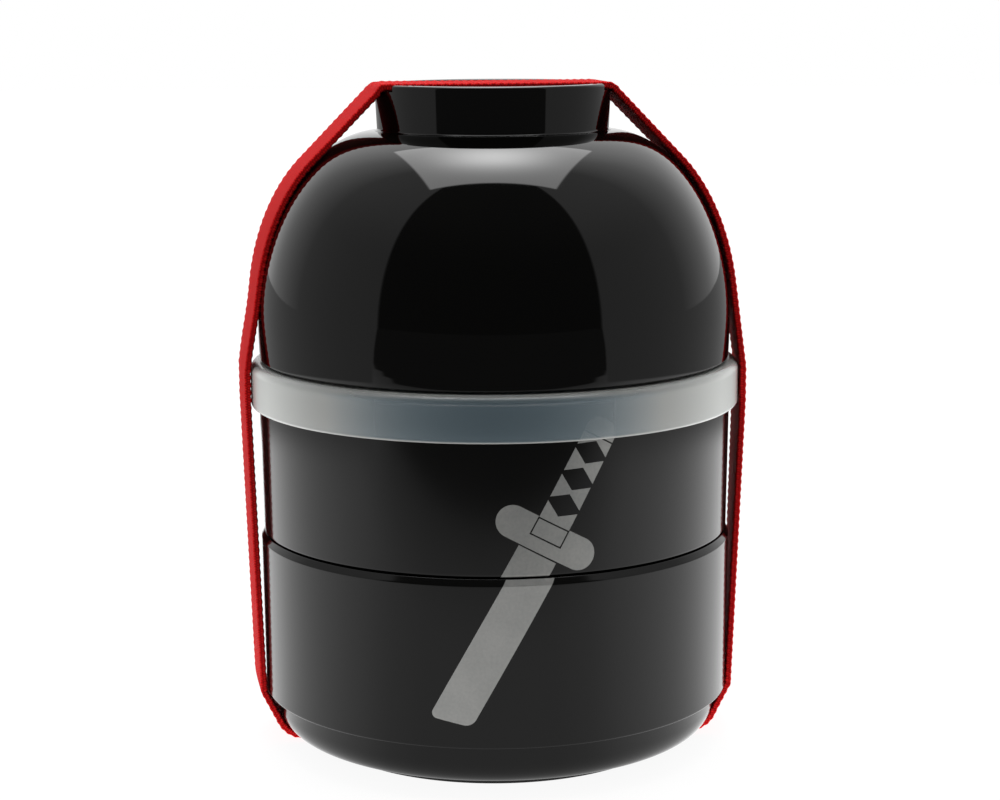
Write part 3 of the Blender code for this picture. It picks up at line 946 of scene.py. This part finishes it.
def wall_line(outline, base, low):
    """The outer wall's points (z, r) above a height, up to the top of the rim."""
    line = supported(outline)
    top = max(range(len(line)), key=lambda i: (round(line[i][1], 9), -i))
    return [(z + base, r) for r, z in line[: top + 1] if z + base >= low]


def wall_radius(line, z):
    """The outer wall's radius at a height."""
    for (z0, r0), (z1, r1) in zip(line, line[1:]):
        if z <= z1:
            share = max(0.0, (z - z0) / max(z1 - z0, TINY))
            return r0 + (r1 - r0) * share
    return line[-1][1]


def figure_point(across, up, lean):
    """From the figure's own frame, along its guard and its hilt, to the unrolled wall (s, z)."""
    return (
        FIGURE_S + across * math.cos(lean) + up * math.sin(lean),
        FIGURE_Z - across * math.sin(lean) + up * math.cos(lean),
    )


def guard_shapes():
    """The guard, cut by the thin lines round the collar."""
    half, r = GUARD_LENGTH / 2, GUARD_T / 2
    turn = r * ROUND_END
    line = LINE_W / 2
    left, right = HILT_LEFT - line, HILT_RIGHT + line
    return [
        rounded_loop([(-half, -r, turn), (left, -r, 0), (left, r, 0), (-half, r, turn)]),
        rounded_loop([(right, -r, 0), (half, -r, turn), (half, r, turn), (right, r, 0)]),
        [(left, -r), (right, -r), (right, COLLAR_LOW - line), (left, COLLAR_LOW - line)],
        [
            (HILT_LEFT + line, COLLAR_LOW + line),
            (HILT_RIGHT - line, COLLAR_LOW + line),
            (HILT_RIGHT - line, COLLAR_HIGH - line),
            (HILT_LEFT + line, COLLAR_HIGH - line),
        ],
    ]


def hilt_shapes():
    """The hilt between its dark diamonds: a piece over the collar, two bow ties and the cap."""
    middle = (HILT_LEFT + HILT_RIGHT) / 2
    rows = [DIAMOND_FIRST + DIAMOND_PITCH * i for i in range(DIAMONDS)]
    side = DIAMOND_HALF_H * (1 - (HILT_RIGHT - middle) / DIAMOND_HALF_W)
    shapes = []
    lows = [COLLAR_HIGH + LINE_W / 2] + rows
    highs = rows + [CAP_LINE - LINE_W / 2]
    for number, (low, high) in enumerate(zip(lows, highs)):
        low_side = low if number == 0 else low + side
        low_middle = low if number == 0 else low + DIAMOND_HALF_H
        high_side = high if number == DIAMONDS else high - side
        high_middle = high if number == DIAMONDS else high - DIAMOND_HALF_H
        for edge in (HILT_LEFT, HILT_RIGHT):
            shapes.append([(edge, low_side), (middle, low_middle), (middle, high_middle), (edge, high_side)])
    shapes.append(
        rounded_loop(
            [
                (HILT_LEFT, CAP_LINE + LINE_W / 2, 0),
                (HILT_RIGHT, CAP_LINE + LINE_W / 2, 0),
                (HILT_RIGHT, HILT_TOP, CAP_RADIUS),
                (HILT_LEFT, HILT_TOP, CAP_RADIUS),
            ]
        )
    )
    return shapes


def sheath_upper_shape():
    """The sheath below the guard, longer than the upper tier that it is cut to."""
    top = -(GUARD_T / 2 + LINE_W)
    left, right = -SHEATH_HALF_W, SHEATH_HALF_W
    return [(left, SHEATH_END_LEFT), (right, SHEATH_END_LEFT), (right, top), (left, top)]


def sheath_lower_shape():
    """The sheath's rounded end, which runs up past the lower tier that it is cut to."""
    left, right = SHEATH_SHIFT - SHEATH_HALF_W, SHEATH_SHIFT + SHEATH_HALF_W
    radius_left, radius_right = SHEATH_END_RADII
    return rounded_loop(
        [
            (left, SHEATH_END_LEFT, radius_left),
            (right, SHEATH_END_RIGHT, radius_right),
            (right, 0, 0),
            (left, 0, 0),
        ]
    )


def print_piece(name, shapes, outline, base, low, high, material):
    """Flat shapes on the unrolled wall, cut to a tier's heights and laid on its outer wall as a film."""
    line = wall_line(outline, base, low - EDGE_FILLET)
    bm = bmesh.new()
    for shape in shapes:
        bm.faces.new([bm.verts.new((s, 0, z)) for s, z in shape])

    def split(place, normal, outer=False):
        whole = bm.verts[:] + bm.edges[:] + bm.faces[:]
        bmesh.ops.bisect_plane(bm, geom=whole, plane_co=place, plane_no=normal, clear_outer=outer)

    split((0, 0, low), (0, 0, -1), True)
    split((0, 0, high), (0, 0, 1), True)
    for z, _ in line:
        if low < z < high:
            split((0, 0, z), (0, 0, 1))
    reach = [v.co.x for v in bm.verts]
    for i in range(math.floor(min(reach) / PRINT_CELL), math.ceil(max(reach) / PRINT_CELL) + 1):
        split((i * PRINT_CELL, 0, 0), (1, 0, 0))
    for v in bm.verts:
        radius = wall_radius(line, v.co.z) + PRINT_LIFT
        angle = v.co.x / PRINT_R
        v.co = (radius * math.sin(angle), -radius * math.cos(angle), v.co.z)
    bmesh.ops.remove_doubles(bm, verts=bm.verts, dist=MERGE)
    bmesh.ops.recalc_face_normals(bm, faces=bm.faces)
    mesh = bpy.data.meshes.new(name)
    bm.to_mesh(mesh)
    bm.free()
    for polygon in mesh.polygons:
        centre = polygon.center
        if polygon.normal.x * centre.x + polygon.normal.y * centre.y < 0:
            polygon.flip()
    mesh.materials.append(material)
    mesh.shade_flat()
    piece = bpy.data.objects.new(name, mesh)
    bpy.context.scene.collection.objects.link(piece)
    film = piece.modifiers.new("film", "SOLIDIFY")
    film.thickness = PRINT_T
    film.offset = 1
    return piece


def make_prints(shaded_upper_ink, lit_lower_ink):
    hilt = [[figure_point(a, u, HILT_LEAN) for a, u in shape] for shape in guard_shapes() + hilt_shapes()]
    upper_sheath = [figure_point(a, u, SHEATH_LEAN) for a, u in sheath_upper_shape()]
    lower_sheath = [figure_point(a, u, SHEATH_LEAN) for a, u in sheath_lower_shape()]
    step = UPPER_Z + UPPER_STEP_H + PRINT_STEP_GAP
    rim = LOWER_H - PRINT_RIM_GAP
    shapes = hilt + [upper_sheath]
    upper = print_piece("print_upper", shapes, upper_outline(), UPPER_Z, step, UPPER_Z + UPPER_H, shaded_upper_ink)
    lower = print_piece("print_lower", [lower_sheath], lower_outline(), 0, LOWER_STEP_H + MM, rim, lit_lower_ink)
    return upper, lower


def blended(tree, share, a, b):
    """A level between a and b."""
    made = node(tree, "ShaderNodeMix", data_type="FLOAT")
    for target, value in zip((made.inputs[0], made.inputs[2], made.inputs[3]), (share, a, b)):
        feed(tree, target, value)
    return made.outputs[0]


def met_level(tree, camera, mirrored, plain):
    """What a ray meets: a level for the camera, one that shiny pieces mirror, one that lights the rest."""
    path = node(tree, "ShaderNodeLightPath").outputs
    return blended(tree, path["Is Camera Ray"], blended(tree, path["Is Glossy Ray"], plain, mirrored), camera)


def heading(tree, x, y):
    """Angle from the middle of the studio's dark gap, which lies a little left of straight ahead."""
    turn = maths(tree, "ARCTAN2", x, times(tree, y, -1.0))
    return maths(tree, "ABSOLUTE", maths(tree, "ADD", turn, GAP_TURN))


def studio_world():
    """A soft studio: a softbox overhead, a dark gap in front, grey walls, and brighter ones behind."""
    world = bpy.data.worlds.new("studio")
    bpy.context.scene.world = world
    world.use_nodes = True
    tree = world.node_tree
    background = tree.nodes["Background"]
    parts = node(tree, "ShaderNodeSeparateXYZ")
    tree.links.new(node(tree, "ShaderNodeTexCoord").outputs["Generated"], parts.inputs[0])
    x, y, z = parts.outputs
    share = times(tree, heading(tree, x, y), 1 / math.pi)
    walls = ramp(tree, share, WALL_STOPS)
    walls = times(tree, walls, ranged(tree, z, *WALL_RISE, smooth=True))
    height = maths(tree, "MAXIMUM", z, BOX_LOWEST)
    across = maths(tree, "DIVIDE", x, height)
    back = maths(tree, "DIVIDE", y, height)
    behind = maths(tree, "MULTIPLY_ADD", back, 1 / BOX_FALL_BACK, -BOX_MIDDLE / BOX_FALL_BACK)
    before = maths(tree, "MULTIPLY_ADD", back, -1 / BOX_FALL_FRONT, BOX_MIDDLE / BOX_FALL_FRONT)
    along = maths(tree, "POWER", maths(tree, "MAXIMUM", behind, before), 2.0)
    spread = times(tree, across, 1 / BOX_FALL_SIDE)
    fall = maths(tree, "MULTIPLY_ADD", spread, spread, along)
    glow = maths(tree, "EXPONENT", times(tree, fall, -1.0))
    panel = maths(tree, "MULTIPLY_ADD", glow, BOX_GLOW, BOX_LEVEL)
    sides = ranged(tree, maths(tree, "ABSOLUTE", across), *BOX_SIDE_EDGE, 1, 0)
    front = ranged(tree, back, *BOX_FRONT_EDGE, 0, 1)
    rear = ranged(tree, back, *BOX_REAR_EDGE, 1, 0)
    softbox = times(tree, times(tree, times(tree, panel, sides), front), rear)
    mirrored = maths(tree, "MAXIMUM", walls, softbox)
    plain = times(tree, ramp(tree, share, PLAIN_STOPS), PLAIN_WALLS)
    plain = maths(tree, "MAXIMUM", plain, times(tree, softbox, PLAIN_BOX))
    tree.links.new(met_level(tree, 1.0, mirrored, plain), background.inputs["Strength"])
    background.inputs["Color"].default_value = (1, 1, 1, 1)


def pale_floor():
    """A pale ground, white to the camera but for the box's faint shadow, that darkens towards the viewer."""
    material = bpy.data.materials.new("pale_ground")
    material.use_nodes = True
    tree = material.node_tree
    tree.nodes.remove(tree.nodes["Principled BSDF"])
    parts = node(tree, "ShaderNodeSeparateXYZ")
    tree.links.new(node(tree, "ShaderNodeNewGeometry").outputs["Position"], parts.inputs[0])
    x, y = parts.outputs[:2]
    radius = maths(tree, "SQRT", maths(tree, "MULTIPLY_ADD", x, x, times(tree, y, y)))
    facing = heading(tree, x, y)
    near = maths(tree, "DIVIDE", GROUND_NEAR, maths(tree, "MAXIMUM", radius, GROUND_NEAREST))
    share = times(tree, times(tree, facing, maths(tree, "ADD", near, 1.0)), 1 / math.pi)
    lit = times(tree, ramp(tree, share, GROUND_STOPS), ranged(tree, y, *GROUND_FADE))
    aside = ranged(tree, facing, GAP_HALF - GROUND_BLUR, GAP_HALF + GROUND_BLUR, 0, 1)
    ahead = times(tree, ranged(tree, y, *GROUND_END, 1, 0), maths(tree, "SUBTRACT", 1.0, aside))
    lit = blended(tree, ahead, lit, GROUND_AHEAD)
    lit = blended(tree, times(tree, aside, ranged(tree, radius, *GROUND_RADIUS, 0, 1)), lit, GROUND_ASIDE)
    glow = node(tree, "ShaderNodeEmission")
    level = met_level(tree, GROUND_SEEN, lit, times(tree, lit, GROUND_PLAIN))
    tree.links.new(level, glow.inputs["Strength"])
    matt = node(tree, "ShaderNodeBsdfDiffuse")
    seen = node(tree, "ShaderNodeLightPath").outputs["Is Camera Ray"]
    tree.links.new(times(tree, seen, GROUND_MATT), matt.inputs["Color"])
    both = node(tree, "ShaderNodeAddShader")
    tree.links.new(glow.outputs[0], both.inputs[0])
    tree.links.new(matt.outputs[0], both.inputs[1])
    tree.links.new(both.outputs[0], tree.nodes["Material Output"].inputs[0])
    half = GROUND_HALF
    corners = [(-half, -half, 0), (half, -half, 0), (half, half, 0), (-half, half, 0)]
    mesh = bpy.data.meshes.new("ground")
    mesh.from_pydata(corners, [], [(0, 1, 2, 3)])
    mesh.materials.append(material)
    ground = bpy.data.objects.new("ground", mesh)
    bpy.context.scene.collection.objects.link(ground)


def make_camera():
    """The photo's view: a little above the lid, looking slightly down."""
    data = bpy.data.cameras.new("camera")
    data.lens = LENS_MM
    data.sensor_width = SENSOR_MM
    camera = bpy.data.objects.new("camera", data)
    bpy.context.scene.collection.objects.link(camera)
    camera.rotation_mode = "QUATERNION"
    yaw = Quaternion((0, 0, 1), -CAMERA_YAW)
    tilt = Quaternion((1, 0, 0), math.pi / 2 - CAMERA_PITCH)
    roll = Quaternion((0, 0, 1), CAMERA_ROLL)
    camera.rotation_quaternion = yaw @ tilt @ roll
    camera.location = EYE
    bpy.context.scene.camera = camera


def dress(piece, body, slot, *nodes):
    """Ties a piece to its body and hides the solids that it is drawn in place of; slot is not used."""
    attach(piece, body)
    if nodes:
        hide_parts(*nodes)
    return piece


def main():
    make_camera()
    studio_world()
    pale_floor()
    bpy.context.scene.view_settings.view_transform = "Standard"
    lower = turned("lower_tier", lower_outline(), satin("lower_satin"), 0)
    cut_band_slot(lower)
    upper = turned("upper_tier", upper_outline(), satin("upper_satin"), UPPER_Z)
    lid = turned("lid_shell", lid_outline(), soft_plastic(), LID_Z)
    bowl = turned("bowl_shell", bowl_outline(), lacquer(), BOWL_Z)
    cut_foot_notch(bowl)
    dress(lower, "lower_container", "lower_container", "lower_container")
    dress(upper, "upper_container", "upper_container", "upper_container")
    dress(lid, "lid", "seal_lid", "seal_lid")
    dress(bowl, "bowl", "bowl_cover", "bowl_cover")
    # the same ink twice, painted darker on the upper tier and lighter on the lower one
    shaded_upper_ink = ink("print_ink_upper_shaded", UPPER_GREYS_SHADED)
    lit_lower_ink = ink("print_ink_lower_lit", LOWER_GREYS_LIT)
    print_upper, print_lower = make_prints(shaded_upper_ink, lit_lower_ink)
    dress(print_upper, "upper_container", "upper_container")
    dress(print_lower, "lower_container", "lower_container")
    dress(make_band(woven()), "band", "elastic_band", "elastic_band")
    dress(make_stitching(thread()), "band", "band_stitching", "band_stitching")


main()
